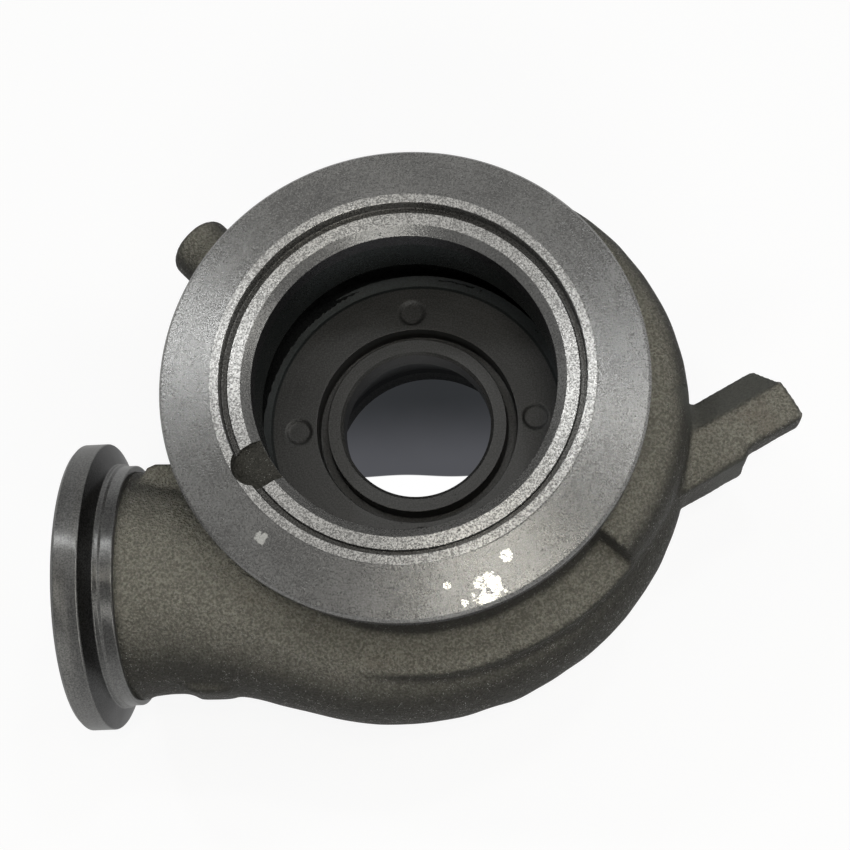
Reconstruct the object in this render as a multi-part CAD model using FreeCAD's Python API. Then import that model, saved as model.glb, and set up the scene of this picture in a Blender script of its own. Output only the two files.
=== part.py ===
import FreeCAD, Part
import math
import os

from FreeCAD import Vector

# Turbine housing of a small variable-nozzle turbocharger, one iron casting, in millimetres.
# The turbine axis is Z. The bearing housing clamps on at the top and the casting stands on its outlet face at
# Z = 0. The exhaust gas comes in from the left along +X, low in the plan, and runs round the scroll
# anticlockwise, seen from above, to the tongue. Angles are in degrees from +X, anticlockwise.

# Heights, down from the contact ring that is the highest plane
total_height = 83.0
cavity_depth = 41.4
throat_height = 17.4
throat_undercut = 2.0
floor_lip = 1.5
pilot_length = 9.5

# Bearing flange and its bores, from the pilot bore outwards
pilot_radius = 36.0
pilot_relief = 0.6
lead_in_width = 2.2
lead_in_depth = 1.9
seat_width = 3.1
seat_depth = 2.5
corner_groove_width = 1.6
corner_groove_depth = 0.7
contact_width = 2.3
contact_step = 0.4
flange_radius = 57.6
flange_fall = 2.3
flange_rim = 4.4
flange_chamfer = 0.6
flange_back_angle = 20.0
flange_neck_radius = 53.0
neck_flare_radius = 57.2
neck_flare_drop = 10.7

# Clamp notch that is cut through the seat and into the contact ring
notch_angle = 212.0
notch_width = 10.6
notch_reach = 45.2
notch_depth = 4.3

# Cavity floor, the groove round the shroud ring, and the four shallow round marks
exducer_radius = 18.8
exducer_length = 7.5
exducer_edge = 0.8
shroud_ring_width = 4.1
shroud_groove_width = 2.7
shroud_groove_depth = 6.0
mark_count = 4
mark_circle_radius = 30.2
mark_radius = 3.1
mark_depth = 0.5
mark_start_angle = 3.0

# Scroll, from its first full section to the tongue
wall = 4.5
scroll_inner_radius = 39.0
scroll_start_angle = 270.0
scroll_end_angle = 540.0
scroll_start_radius = 75.4
scroll_end_radius = 53.8
scroll_start_height = 41.0
scroll_end_height = 50.0
scroll_step_angle = 30.0
# Neck sections from inlet to scroll: shares of the way in plan, in height and in size, and heading
neck_shares = ((0.14, 0.02, 0.20, 0.0), (0.38, 0.17, 0.43, -9.0), (0.67, 0.62, 0.72, -13.0))
tail_angle = 560.0
tail_radius = 46.0
core_radius = 46.5
core_bottom = 33.0
core_slope_drop = 6.0
core_flare_height = 6.5

# Inlet neck and its clamp flange
inlet_x = -80.9
inlet_y = -42.0
inlet_height = 45.0
inlet_turn = 2.0
inlet_flange_radius = 35.3
inlet_rim_width = 6.4
inlet_back_angle = 20.0
inlet_ring_radius = 29.6
inlet_ring_width = 4.6
inlet_ring_step = 0.5
inlet_step_width = 1.2
inlet_bore_radius = 23.6
inlet_lead_in = 1.6
inlet_neck_radius = 28.4
inlet_edge = 0.8

# Outlet duct and its clamp flange
outlet_radius = 25.5
outlet_straight = 10.0
outlet_wall = 4.2
outlet_flange_radius = 36.0
outlet_rim = 4.2
outlet_edge = 0.6

# Flat lands on top of the scroll: start angle, end angle and height above the lowest land
land_height = 61.6
land_fall = 2.2
land_radius = 66.9
land_round = 1.0
land_segments = ((240.6, 292.3, 0.0), (292.3, 304.3, 1.3), (304.3, 322.7, 0.3))
land_inner_radius = 45.0
land_root_drop = 13.0
land_skirt = 4.0

# High shoulder that the scroll has on its far side, close under the bearing flange
shoulder_start_angle = 322.7
shoulder_blend_angle = 50.0
shoulder_step_angle = 18.0
shoulder_radius = 9.6
shoulder_height = 60.2
shoulder_inner_radius = 42.0
shoulder_start_inset = 4.6
shoulder_inset = 0.5

# Bracket lug on the right, its bar, long chamfer and root rib
lug_angle = 29.5
lug_top = 55.0
lug_thickness = 11.0
lug_end = 81.4
lug_near_side = -49.7
lug_far_side = -32.0
lug_chamfer = 7.8
lug_root = 44.0
lug_corner = 3.4
lug_edge = 1.2
rib_end = 65.4
rib_near_side = -51.6
rib_far_side = -38.0
rib_top = 53.6
rib_bottom = 36.5
rib_edge = 2.0

# Round boss at the upper left
boss_angle = 135.0
boss_offset = 7.6
boss_radius = 8.2
boss_reach = 72.4
boss_height = 55.0
boss_edge = 2.2

# Web between the inlet neck and the core
web_left = -65.4
web_right = -38.0
web_far_side = -14.6
web_near_side = -36.0
web_top = 60.6
web_bottom = 38.0
web_edge = 3.0

# Foundry pad under the inlet neck
pad_x = -48.5
pad_length = 13.0
pad_reach = 69.4
pad_width = 16.0
pad_edge = 3.6

# Overlap that a cutter has past the face it opens
clear = 1.0

seat_inner_radius = pilot_radius + lead_in_width
seat_outer_radius = seat_inner_radius + seat_width
contact_inner_radius = seat_outer_radius + corner_groove_width
contact_outer_radius = contact_inner_radius + contact_width
seat_height = total_height - seat_depth
floor_height = total_height - cavity_depth
throat_top = floor_height + throat_height
ring_inner_radius = exducer_radius + shroud_ring_width
ring_outer_radius = ring_inner_radius + shroud_groove_width
rim_top = total_height - contact_step - flange_fall
rim_bottom = rim_top - flange_rim
neck_top = rim_bottom - (flange_radius - flange_neck_radius) * math.tan(math.radians(flange_back_angle))


def polar(radius, angle, height=0.0):
    """A point from its radius, its angle in degrees and its height."""
    turn = math.radians(angle)
    return Vector(radius * math.cos(turn), radius * math.sin(turn), height)


def revolved(profile):
    """A solid from a closed profile of (radius, height) points, turned about the turbine axis."""
    points = [Vector(r, 0, z) for r, z in profile]
    face = Part.Face(Part.makePolygon(points + points[:1]))
    return face.revolve(Vector(), Vector(0, 0, 1), 360.0)


def rounded_face(corners):
    """A flat face from (point, radius) corners, each one rounded by an arc unless its radius is 0."""
    edges = []
    last_end = None
    first_start = None
    for i, (point, radius) in enumerate(corners):
        before = (corners[i - 1][0] - point).normalize()
        after = (corners[(i + 1) % len(corners)][0] - point).normalize()
        half = before.getAngle(after) / 2
        reach = radius / math.tan(half)
        start, end = point + before * reach, point + after * reach
        if last_end is not None:
            edges.append(Part.LineSegment(last_end, start).toShape())
        if radius:
            middle = point + (before + after).normalize() * (radius / math.sin(half) - radius)
            edges.append(Part.Arc(start, middle, end).toShape())
        first_start = first_start or start
        last_end = end
    edges.append(Part.LineSegment(last_end, first_start).toShape())
    return Part.Face(Part.Wire(edges))


def section(centre, heading, radius):
    """A round section of a tube that runs towards a heading in degrees: two half circles from its top."""
    side = polar(1.0, heading - 90.0)
    up = Vector(0, 0, radius)
    outer = Part.Arc(centre + up, centre + side * radius, centre - up)
    inner = Part.Arc(centre - up, centre - side * radius, centre + up)
    return Part.Wire([outer.toShape(), inner.toShape()])


def tube(stations, inset=0.0):
    """A smooth solid through round sections, each smaller than its station by the inset."""
    wires = [section(centre, heading, radius - inset) for centre, heading, radius in stations]
    return Part.makeLoft(wires, True, False)


def scroll_outer(angle):
    """Outer radius of the scroll's skin at an angle, falling evenly to the tongue."""
    share = (angle - scroll_start_angle) / (scroll_end_angle - scroll_start_angle)
    return scroll_start_radius + share * (scroll_end_radius - scroll_start_radius)


def scroll_height(angle):
    """Height of the scroll's centre line at an angle."""
    share = (angle - scroll_start_angle) / (scroll_end_angle - scroll_start_angle)
    return scroll_start_height + share * (scroll_end_height - scroll_start_height)


def scroll_station(angle):
    """Centre, heading and skin radius of the scroll at an angle."""
    outer = scroll_outer(angle)
    radius = (outer - wall - scroll_inner_radius) / 2 + wall
    return polar(outer - radius, angle, scroll_height(angle)), angle + 90.0, radius


def inlet_centre(along):
    """A point on the inlet's axis, at a distance from its face into the casting."""
    start = Vector(inlet_x, inlet_y, inlet_height)
    return start + polar(along, inlet_turn)


def neck_stations():
    """Stations of the neck, from the machined ring to where the scroll takes over."""
    first = inlet_rim_width + inlet_ring_width - clear
    target, _, target_radius = scroll_station(scroll_start_angle)
    start = inlet_centre(first)
    stations = [(start, inlet_turn, inlet_neck_radius)]
    for along, across, narrow, turn in neck_shares:
        x = start.x + along * (target.x - start.x)
        y = start.y + across * (target.y - start.y)
        z = start.z + across * (target.z - start.z)
        radius = inlet_neck_radius + narrow * (target_radius - inlet_neck_radius)
        stations.append((Vector(x, y, z), turn, radius))
    return stations


def scroll_stations():
    """Stations of the scroll, at even angles to its end, with a tail that sinks into the core."""
    count = int(round((scroll_end_angle - scroll_start_angle) / scroll_step_angle))
    stations = [scroll_station(scroll_start_angle + scroll_step_angle * i) for i in range(count + 1)]
    end_radius = stations[-1][2]
    tail = polar(tail_radius - end_radius, tail_angle, scroll_end_height)
    stations.append((tail, tail_angle + 90.0, end_radius))
    return stations


def core():
    """The turned body: outlet flange, duct, floor, neck and bearing flange, without its bores."""
    back_slope = math.tan(math.radians(flange_back_angle))
    duct_radius = outlet_radius + outlet_wall
    outlet_back = outlet_rim + (outlet_flange_radius - duct_radius) * back_slope
    profile = [
        (0, 0),
        (outlet_flange_radius - outlet_edge, 0),
        (outlet_flange_radius, outlet_edge),
        (outlet_flange_radius, outlet_rim),
        (duct_radius, outlet_back),
        (duct_radius, core_bottom - core_slope_drop),
        (core_radius, core_bottom),
        (core_radius, land_height - land_root_drop),
        (flange_neck_radius, land_height - land_root_drop + core_flare_height),
        (flange_neck_radius, neck_top),
        (flange_radius, rim_bottom),
        (flange_radius, rim_top - flange_chamfer),
        (flange_radius - flange_chamfer, rim_top),
        (contact_outer_radius, total_height - contact_step),
        (contact_outer_radius, total_height),
        (0, total_height),
    ]
    return revolved(profile)


def bore_cutter():
    """The turned void: seat, lead-in, pilot bore, its relief, throat, groove, exducer and outlet."""
    relief_radius = pilot_radius + pilot_relief
    duct_top = floor_height - exducer_length
    groove_bottom = floor_height - shroud_groove_depth
    profile = [
        (0, total_height + clear),
        (contact_inner_radius, total_height + clear),
        (contact_inner_radius, seat_height - corner_groove_depth),
        (seat_outer_radius, seat_height - corner_groove_depth),
        (seat_outer_radius, seat_height),
        (seat_inner_radius, seat_height),
        (pilot_radius, seat_height - lead_in_depth),
        (pilot_radius, total_height - pilot_length),
        (relief_radius, total_height - pilot_length - pilot_relief),
        (relief_radius, throat_top),
        (scroll_inner_radius + throat_undercut, throat_top),
        (scroll_inner_radius + throat_undercut, floor_height + floor_lip),
        (pilot_radius + floor_lip, floor_height),
        (ring_outer_radius, floor_height),
        (ring_outer_radius, groove_bottom),
        (ring_inner_radius, groove_bottom),
        (ring_inner_radius, floor_height),
        (exducer_radius + exducer_edge, floor_height),
        (exducer_radius, floor_height - exducer_edge),
        (exducer_radius, duct_top),
        (outlet_radius, outlet_straight),
        (outlet_radius, -clear),
        (0, -clear),
    ]
    return revolved(profile)


def marks_cutter():
    """The shallow round marks in the cavity floor."""
    step = 360.0 / mark_count
    centres = [polar(mark_circle_radius, mark_start_angle + step * i, floor_height - mark_depth)
               for i in range(mark_count)]
    discs = [Part.makeCylinder(mark_radius, mark_depth + clear, c) for c in centres]
    return discs[0].multiFuse(discs[1:])


def notch_cutter():
    """A slot with a round outer end, from the bore out to the contact ring."""
    half = notch_width / 2
    height = notch_depth + clear
    bottom = total_height - notch_depth
    start = pilot_radius - clear
    slot = Part.makeBox(notch_reach - half - start, notch_width, height, Vector(start, -half, bottom))
    end = Part.makeCylinder(half, height, Vector(notch_reach - half, 0, bottom))
    notch = slot.fuse(end).removeSplitter()
    notch.rotate(Vector(), Vector(0, 0, 1), notch_angle)
    return notch


def inlet_flange():
    """The turned clamp flange of the inlet with its conical back and the machined ring behind it."""
    slope = math.tan(math.radians(inlet_back_angle))
    cone = (inlet_flange_radius - inlet_ring_radius) * slope
    ring_end = inlet_rim_width + inlet_ring_width + cone
    profile = [
        (0, 0),
        (inlet_flange_radius - inlet_edge, 0),
        (inlet_flange_radius, inlet_edge),
        (inlet_flange_radius, inlet_rim_width),
        (inlet_ring_radius + inlet_ring_step, inlet_rim_width + cone),
        (inlet_ring_radius + inlet_ring_step, inlet_rim_width + cone + inlet_step_width),
        (inlet_ring_radius, inlet_rim_width + cone + inlet_step_width + inlet_ring_step),
        (inlet_ring_radius, ring_end),
        (0, ring_end),
    ]
    solid = revolved(profile)
    solid.rotate(Vector(), Vector(0, 1, 0), 90.0)
    solid.rotate(Vector(), Vector(0, 0, 1), inlet_turn)
    solid.translate(Vector(inlet_x, inlet_y, inlet_height))
    return solid


def inlet_mouth():
    """The lead-in cone at the inlet's face."""
    mouth = Part.makeCone(inlet_bore_radius + inlet_lead_in + clear, inlet_bore_radius,
                          inlet_lead_in + clear, inlet_centre(-clear), polar(1.0, inlet_turn))
    return mouth


def passage():
    """The gas passage: a straight inlet bore, the neck, and the scroll's inner wall."""
    neck = neck_stations()
    straight = [(inlet_centre(-clear), inlet_turn, inlet_bore_radius + wall),
                (inlet_centre(inlet_rim_width), inlet_turn, inlet_bore_radius + wall)]
    return tube(straight + neck[1:] + scroll_stations()[:-1], wall)


def land(start, end, rise):
    """One land on the scroll: a ring segment with a rounded outer edge and a steep cone up to the neck."""
    top = land_height + rise
    bottom = land_height - land_root_drop
    outer_top = top - land_fall
    cone_top = top + neck_flare_drop
    profile = rounded_face([
        (Vector(land_inner_radius, 0, bottom), 0.0),
        (Vector(land_radius - land_skirt, 0, bottom), 0.0),
        (Vector(land_radius, 0, outer_top - 2 * land_round), 0.0),
        (Vector(land_radius, 0, outer_top), land_round),
        (Vector(neck_flare_radius, 0, top), 0.0),
        (Vector(flange_neck_radius, 0, cone_top), 0.0),
        (Vector(land_inner_radius, 0, cone_top), 0.0),
    ])
    profile.rotate(Vector(), Vector(0, 0, 1), start)
    return profile.revolve(Vector(), Vector(0, 0, 1), end - start)


def shoulder_section(angle):
    """A section of the shoulder: a flat ledge, a round crown and a side down to the scroll's widest line."""
    share = max(0.0, 1.0 - (angle - shoulder_start_angle) / shoulder_blend_angle)
    inset = shoulder_inset + (shoulder_start_inset - shoulder_inset) * share ** 2
    outer = scroll_outer(angle) - inset
    top = shoulder_height + shoulder_radius
    crown = outer - shoulder_radius
    low = scroll_height(angle)
    turn = math.radians(45.0)
    middle = (crown + shoulder_radius * math.sin(turn), shoulder_height + shoulder_radius * math.cos(turn))
    corners = [(shoulder_inner_radius, low), (shoulder_inner_radius, top), (crown, top), middle,
               (outer, shoulder_height), (outer, low)]
    a, b, c, m, d, e = [polar(r, angle, z) for r, z in corners]
    edges = [Part.LineSegment(a, b), Part.LineSegment(b, c), Part.Arc(c, m, d), Part.LineSegment(d, e),
             Part.LineSegment(e, a)]
    return Part.Wire([edge.toShape() for edge in edges])


def shoulder():
    """The high rounded shoulder on the far side of the scroll, close under the bearing flange."""
    turn = scroll_end_angle - shoulder_start_angle
    count = int(round(turn / shoulder_step_angle))
    wires = [shoulder_section(shoulder_start_angle + turn * i / count) for i in range(count + 1)]
    return Part.makeLoft(wires, True, False)


def lug():
    """The bracket lug: a bar with a long chamfer and a cut corner, over a deeper root rib."""
    bottom = lug_top - lug_thickness
    slope_start = lug_far_side - lug_chamfer
    profile = rounded_face([
        (Vector(lug_root, lug_near_side, bottom), lug_edge),
        (Vector(lug_root, lug_near_side, lug_top), lug_edge),
        (Vector(lug_root, slope_start, lug_top), lug_edge),
        (Vector(lug_root, lug_far_side, lug_top - lug_chamfer), lug_edge),
        (Vector(lug_root, lug_far_side, bottom), lug_edge),
    ])
    bar = profile.extrude(Vector(lug_end - lug_root, 0, 0))
    low = bottom - clear
    plan = rounded_face([
        (Vector(lug_root - clear, lug_near_side - clear, low), 0.0),
        (Vector(lug_end, lug_near_side - clear, low), 0.0),
        (Vector(lug_end, slope_start, low), lug_edge),
        (Vector(lug_end - lug_corner, lug_far_side + clear, low), 0.0),
        (Vector(lug_root - clear, lug_far_side + clear, low), 0.0),
    ])
    bar = bar.common(plan.extrude(Vector(0, 0, lug_thickness + 2 * clear)))
    rib_plan = rounded_face([
        (Vector(lug_root, rib_near_side, rib_bottom), 0.0),
        (Vector(rib_end, rib_near_side, rib_bottom), rib_edge),
        (Vector(rib_end, rib_far_side, rib_bottom), rib_edge),
        (Vector(lug_root, rib_far_side, rib_bottom), 0.0),
    ])
    rib = rib_plan.extrude(Vector(0, 0, rib_top - rib_bottom))
    solid = bar.fuse(rib)
    solid.rotate(Vector(), Vector(0, 0, 1), lug_angle)
    return solid


def boss():
    """The round boss that points away from the axis, with a rounded end."""
    start = pilot_radius + wall
    solid = Part.makeCylinder(boss_radius, boss_reach - start, Vector(start, boss_offset, boss_height),
                              Vector(1, 0, 0))
    end = [e for e in solid.Edges if e.BoundBox.XMin > boss_reach - clear]
    solid = solid.makeFillet(boss_edge, end)
    solid.rotate(Vector(), Vector(0, 0, 1), boss_angle)
    return solid


def web():
    """The web that ties the inlet neck to the core, with rounded outer edges."""
    solid = Part.makeBox(web_right - web_left, web_far_side - web_near_side, web_top - web_bottom,
                         Vector(web_left, web_near_side, web_bottom))
    outer = [e for e in solid.Edges
             if e.BoundBox.XMax < web_left + clear and e.BoundBox.YMin > web_far_side - clear]
    return solid.makeFillet(web_edge, outer)


def foundry_pad():
    """The low pad under the inlet neck, where the outline bulges a little."""
    solid = Part.makeBox(pad_length, pad_width, pad_width,
                         Vector(pad_x - pad_length / 2, -pad_reach, inlet_height - pad_width / 2))
    outer = [e for e in solid.Edges if e.BoundBox.YMax < -pad_reach + clear]
    return solid.makeFillet(pad_edge, outer)


def housing():
    """The finished casting: every outer form in one solid, then the passage and the turned bores."""
    skin = tube(neck_stations() + scroll_stations())
    lands = [land(*segment) for segment in land_segments]
    parts = [skin, inlet_flange(), shoulder(), lug(), boss(), web(), foundry_pad()] + lands
    solid = core().multiFuse(parts)
    for cutter in (passage(), inlet_mouth(), bore_cutter(), marks_cutter(), notch_cutter()):
        solid = solid.cut(cutter)
    return solid


os.makedirs("parts", exist_ok=True)
shape = housing()
print("valid", shape.isValid(), "solids", len(shape.Solids))
print("volume", round(shape.Volume), "faces", len(shape.Faces))
shape.exportStep("parts/turbine_housing.step")
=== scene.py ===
"""Cast iron turbine housing, dressed for a product view from its bearing side.

The casting is shown as one soft cast skin and three turned pieces. The skin is the solid's own surface,
evened out so that its joins get the round fillets of a sand casting. The turned pieces are exact revolved
bands that cover the skin wherever a lathe has cut it. All lengths in the classes are millimetres.
"""
import logging
import math
from dataclasses import dataclass
from enum import Enum
from typing import Any, Sequence

import bpy
import numpy as np
from mathutils import Matrix, Quaternion, Vector


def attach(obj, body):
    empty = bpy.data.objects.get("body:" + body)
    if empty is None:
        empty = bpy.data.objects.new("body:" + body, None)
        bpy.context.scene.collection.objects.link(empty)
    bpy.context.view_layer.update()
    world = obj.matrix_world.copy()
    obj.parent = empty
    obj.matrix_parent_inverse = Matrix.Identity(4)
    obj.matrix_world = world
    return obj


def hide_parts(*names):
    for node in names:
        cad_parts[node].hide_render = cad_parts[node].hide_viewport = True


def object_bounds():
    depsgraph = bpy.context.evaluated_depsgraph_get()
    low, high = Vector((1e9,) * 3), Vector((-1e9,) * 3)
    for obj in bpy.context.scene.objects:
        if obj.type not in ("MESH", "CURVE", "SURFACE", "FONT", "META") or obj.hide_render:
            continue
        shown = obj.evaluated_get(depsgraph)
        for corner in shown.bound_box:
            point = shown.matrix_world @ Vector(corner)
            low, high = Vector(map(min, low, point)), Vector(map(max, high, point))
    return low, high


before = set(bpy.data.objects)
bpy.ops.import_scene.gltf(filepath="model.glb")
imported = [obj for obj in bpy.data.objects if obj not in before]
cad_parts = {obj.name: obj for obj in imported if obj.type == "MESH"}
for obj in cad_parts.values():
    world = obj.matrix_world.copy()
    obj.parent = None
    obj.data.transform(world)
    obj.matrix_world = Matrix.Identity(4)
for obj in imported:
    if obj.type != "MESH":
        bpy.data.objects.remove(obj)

MM = 0.001
NODE = "turbine_housing"
BODY = "root"
CAD_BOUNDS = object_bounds()

log = logging.getLogger("turbine_housing")


class Cut(Enum):
    """What a coloured band lies on: a face, counted across the axis, or a bore, counted along it."""

    FACE = "face"
    BORE = "bore"


# Mesh making


def add_piece(name: str, points: np.ndarray, quads: np.ndarray) -> bpy.types.Object:
    """Makes a mesh object at the origin from arrays.

    Args:
        name: Name of the piece.
        points: Corner positions in millimetres, one row each.
        quads: Four corner numbers a row, anticlockwise seen from outside.

    Returns:
        The new object, linked to the scene.
    """
    mesh = bpy.data.meshes.new(name)
    mesh.vertices.add(len(points))
    mesh.vertices.foreach_set("co", (points * MM).astype(np.float32).ravel())
    mesh.loops.add(quads.size)
    mesh.loops.foreach_set("vertex_index", quads.astype(np.int32).ravel())
    mesh.polygons.add(len(quads))
    mesh.polygons.foreach_set("loop_start", np.arange(0, quads.size, 4, dtype=np.int32))
    mesh.update(calc_edges=True)
    mesh.validate()
    piece = bpy.data.objects.new(name, mesh)
    bpy.context.scene.collection.objects.link(piece)
    return piece


def read_points(mesh: bpy.types.Mesh) -> np.ndarray:
    """Corner positions of a mesh in millimetres, one row each."""
    flat = np.empty(len(mesh.vertices) * 3, dtype=np.float32)
    mesh.vertices.foreach_get("co", flat)
    return flat.reshape(-1, 3).astype(np.float64) / MM


def write_points(mesh: bpy.types.Mesh, points: np.ndarray) -> None:
    """Puts positions in millimetres back into a mesh."""
    mesh.vertices.foreach_set("co", (points * MM).astype(np.float32).ravel())
    mesh.update()


def write_attribute(mesh: bpy.types.Mesh, name: str, values: np.ndarray) -> None:
    """Stores one number a corner as a named attribute."""
    layer = mesh.attributes.new(name, "FLOAT", "POINT")
    layer.data.foreach_set("value", values.astype(np.float32))


def ramp(values: np.ndarray, start: float, end: float) -> np.ndarray:
    """A smooth step: 0 up to the start, 1 from the end on, and 3t^2 - 2t^3 between them."""
    share = np.clip((values - start) / (end - start), 0.0, 1.0)
    return share * share * (3.0 - 2.0 * share)


def rounded_loop(corners: Sequence[tuple[float, float, float]], hold: float = 0.03,
                 steps: int = 4) -> np.ndarray:
    """Closed profile with its corners rounded.

    Each corner with an edge radius becomes an arc that touches both of its sides, and a holding point a
    little further along each side keeps the flats flat in the shading.

    Args:
        corners: Radius, height and edge radius of each corner, in millimetres.
        hold: Distance of the holding points from the arc.
        steps: Number of spans in each arc.

    Returns:
        Profile points as rows of radius and height.
    """
    points: list[np.ndarray] = []
    count = len(corners)
    for i, (radius, height, edge) in enumerate(corners):
        here = np.array([radius, height])
        if edge == 0.0:
            points.append(here)
            continue
        before = np.array(corners[i - 1][:2]) - here
        after = np.array(corners[(i + 1) % count][:2]) - here
        before /= np.linalg.norm(before)
        after /= np.linalg.norm(after)
        half = math.acos(float(np.clip(before @ after, -1.0, 1.0))) / 2.0
        reach = edge / math.tan(half)
        middle = (before + after) / np.linalg.norm(before + after)
        centre = here + middle * edge / math.sin(half)
        first = here + before * reach - centre
        last = here + after * reach - centre
        points.append(here + before * (reach + hold))
        sweep = math.pi - 2.0 * half
        for t in np.linspace(0.0, 1.0, steps + 1):
            blend = (math.sin((1.0 - t) * sweep) * first + math.sin(t * sweep) * last) / math.sin(sweep)
            points.append(centre + blend)
        points.append(here + after * (reach + hold))
    return np.array(points)


@dataclass(frozen=True)
class Axis:
    """A straight axis that a lathe turned something about."""

    origin: tuple[float, float, float] = (0.0, 0.0, 0.0)
    along: tuple[float, float, float] = (0.0, 0.0, 1.0)

    def frame(self) -> tuple[np.ndarray, np.ndarray, np.ndarray]:
        """Two unit directions across the axis and the axis itself."""
        along = np.array(self.along) / np.linalg.norm(self.along)
        guide = np.array([0.0, 0.0, 1.0]) if abs(along[2]) < 0.5 else np.array([1.0, 0.0, 0.0])
        side = guide - along * (guide @ along)
        side /= np.linalg.norm(side)
        return side, np.cross(along, side), along

    def split(self, points: np.ndarray) -> tuple[np.ndarray, np.ndarray]:
        """Distance of points from the axis and their place along it."""
        offset = points - np.array(self.origin)
        along = offset @ self.frame()[2]
        across = np.sqrt(np.maximum((offset ** 2).sum(axis=1) - along ** 2, 0.0))
        return across, along


TURBINE_AXIS = Axis()


def turned_grid(axis: Axis, loop: np.ndarray, segments: int) -> tuple[np.ndarray, np.ndarray]:
    """A closed profile carried round an axis.

    A point is origin + height * along + radius * (cos(turn) * side + sin(turn) * other side), for every
    profile point and every turn, and the grid closes on itself both ways.

    Args:
        axis: The axis turned about.
        loop: Profile points as rows of radius and height.
        segments: Number of turns on the full circle.

    Returns:
        Points and quads.
    """
    side, other, along = axis.frame()
    turns = np.linspace(0.0, 2.0 * math.pi, segments, endpoint=False)[:, None, None]
    radius = loop[None, :, 0, None]
    height = loop[None, :, 1, None]
    points = np.array(axis.origin) + height * along + radius * (np.cos(turns) * side + np.sin(turns) * other)
    rows, columns = np.meshgrid(np.arange(segments), np.arange(len(loop)), indexing="ij")
    next_row = (rows + 1) % segments
    next_column = (columns + 1) % len(loop)
    width = len(loop)
    quads = np.stack([rows * width + columns, next_row * width + columns,
                      next_row * width + next_column, rows * width + next_column], axis=-1).reshape(-1, 4)
    x, y = loop[:, 0], loop[:, 1]
    area = float((x * np.roll(y, -1) - np.roll(x, -1) * y).sum())
    if area < 0.0:
        quads = quads[:, ::-1]
    return points.reshape(-1, 3), quads


def finish_piece(piece: bpy.types.Object, sharp_angle: float = 38.0) -> None:
    """Shades a piece smooth but for its sharp edges, hangs it on the casting's body and hides the solid's own
    mesh.
    """
    piece.data.shade_smooth()
    piece.data.set_sharp_from_angle(angle=math.radians(sharp_angle))
    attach(piece, BODY)
    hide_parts(NODE)
    log.info("%s: %d corners, %d faces", piece.name, len(piece.data.vertices), len(piece.data.polygons))


# Material making


class Value:
    """A socket's value, with the arithmetic that adds Math nodes for it."""

    def __init__(self, tree: "Tree", socket: bpy.types.NodeSocket) -> None:
        """Wraps a socket of a tree."""
        self.tree = tree
        self.socket = socket

    def __add__(self, other: Any) -> "Value":
        """This value plus another."""
        return self.tree.maths("ADD", self, other)

    __radd__ = __add__

    def __mul__(self, other: Any) -> "Value":
        """This value times another."""
        return self.tree.maths("MULTIPLY", self, other)

    __rmul__ = __mul__

    def __sub__(self, other: Any) -> "Value":
        """This value less another."""
        return self.tree.maths("SUBTRACT", self, other)

    def __rsub__(self, other: Any) -> "Value":
        """Another value less this one."""
        return self.tree.maths("SUBTRACT", other, self)

    def __truediv__(self, other: Any) -> "Value":
        """This value over another."""
        return self.tree.maths("DIVIDE", self, other)

    def __pow__(self, other: Any) -> "Value":
        """This value raised to another."""
        return self.tree.maths("POWER", self, other)

    def step(self, start: float, end: float) -> "Value":
        """A smooth step from 0 at the start to 1 at the end."""
        inputs = {"Value": self, "From Min": start, "From Max": end}
        return self.tree.node("ShaderNodeMapRange", {"interpolation_type": "SMOOTHSTEP"}, inputs)


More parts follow.
